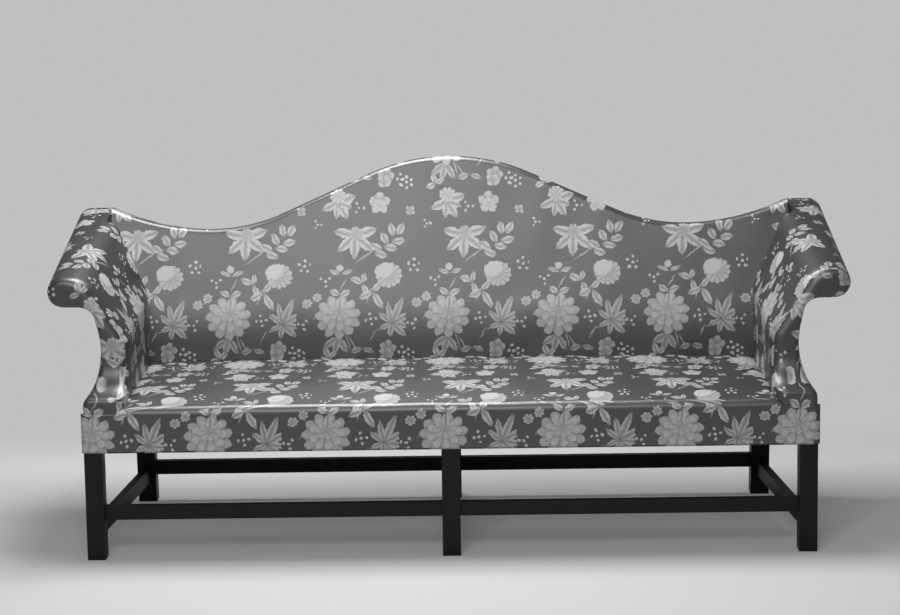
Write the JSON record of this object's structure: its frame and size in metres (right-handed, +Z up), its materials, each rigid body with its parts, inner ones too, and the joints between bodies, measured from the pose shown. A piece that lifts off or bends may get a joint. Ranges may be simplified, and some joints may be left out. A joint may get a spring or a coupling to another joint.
{
  "type": "camelback sofa",
  "caption": "Sofa with a serpentine back, outward-rolled sloping arms and a tight domed seat in flowered satin, on straight square legs joined by stretchers",
  "frame": {"origin": "middle of the footprint at floor level", "axes": "+X to the right along the sofa seen from the front, +Y from front to back, +Z up"},
  "size_m": [2.1058, 0.6915, 0.9763],
  "materials": {
    "mahogany": "polished",
    "frame_wood": "plain sawn",
    "damask": "satin ground with woven flowers",
    "stuffing": "curled hair",
    "wadding": "cotton",
    "webbing": "woven jute",
    "canvas": "plain weave",
    "cambric": "thin black cloth",
    "tacks": "blued"
  },
  "bodies": {
    "root": {"arm_front_facing_left": "damask", "arm_front_facing_right": "damask", "arm_lower_rail_left": "frame_wood", "arm_lower_rail_right": "frame_wood", "arm_stuffing_left": "stuffing", "arm_stuffing_right": "stuffing", "arm_stump_left": "frame_wood", "arm_stump_right": "frame_wood", "arm_top_rail_left": "frame_wood", "arm_top_rail_right": "frame_wood", "back_stile_center": "frame_wood", "back_stile_left": "frame_wood", "back_stile_right": "frame_wood", "back_stuffing": "stuffing", "back_webbing": "webbing", "corner_blocks": "frame_wood", "crest_rail": "frame_wood", "dust_cover": "cambric", "dust_cover_tacks": "tacks", "ear_block_left": "frame_wood", "ear_block_right": "frame_wood", "front_edge_roll": "stuffing", "front_leg_center": "mahogany", "front_leg_left": "mahogany", "front_leg_right": "mahogany", "front_rail_wadding": "wadding", "front_seat_rail": "frame_wood", "front_stretcher_left": "mahogany", "front_stretcher_right": "mahogany", "inside_arm_cover_left": "damask", "inside_arm_cover_right": "damask", "inside_back_cover": "damask", "medial_stretcher": "mahogany", "outside_arm_cover_left": "damask", "outside_arm_cover_right": "damask", "outside_back_cover": "damask", "rear_leg_center": "mahogany", "rear_leg_left": "mahogany", "rear_leg_right": "mahogany", "rear_seat_rail": "frame_wood", "rear_stretcher_left": "mahogany", "rear_stretcher_right": "mahogany", "seat_canvas": "canvas", "seat_cover": "damask", "seat_cross_rail": "frame_wood", "seat_stuffing": "stuffing", "seat_webbing": "webbing", "side_rail_wadding_left": "wadding", "side_rail_wadding_right": "wadding", "side_seat_rail_left": "frame_wood", "side_seat_rail_right": "frame_wood", "side_stretcher_left": "mahogany", "side_stretcher_right": "mahogany", "stay_rail": "frame_wood", "stretcher_pegs": "mahogany"}
  },
  "joints": []
}
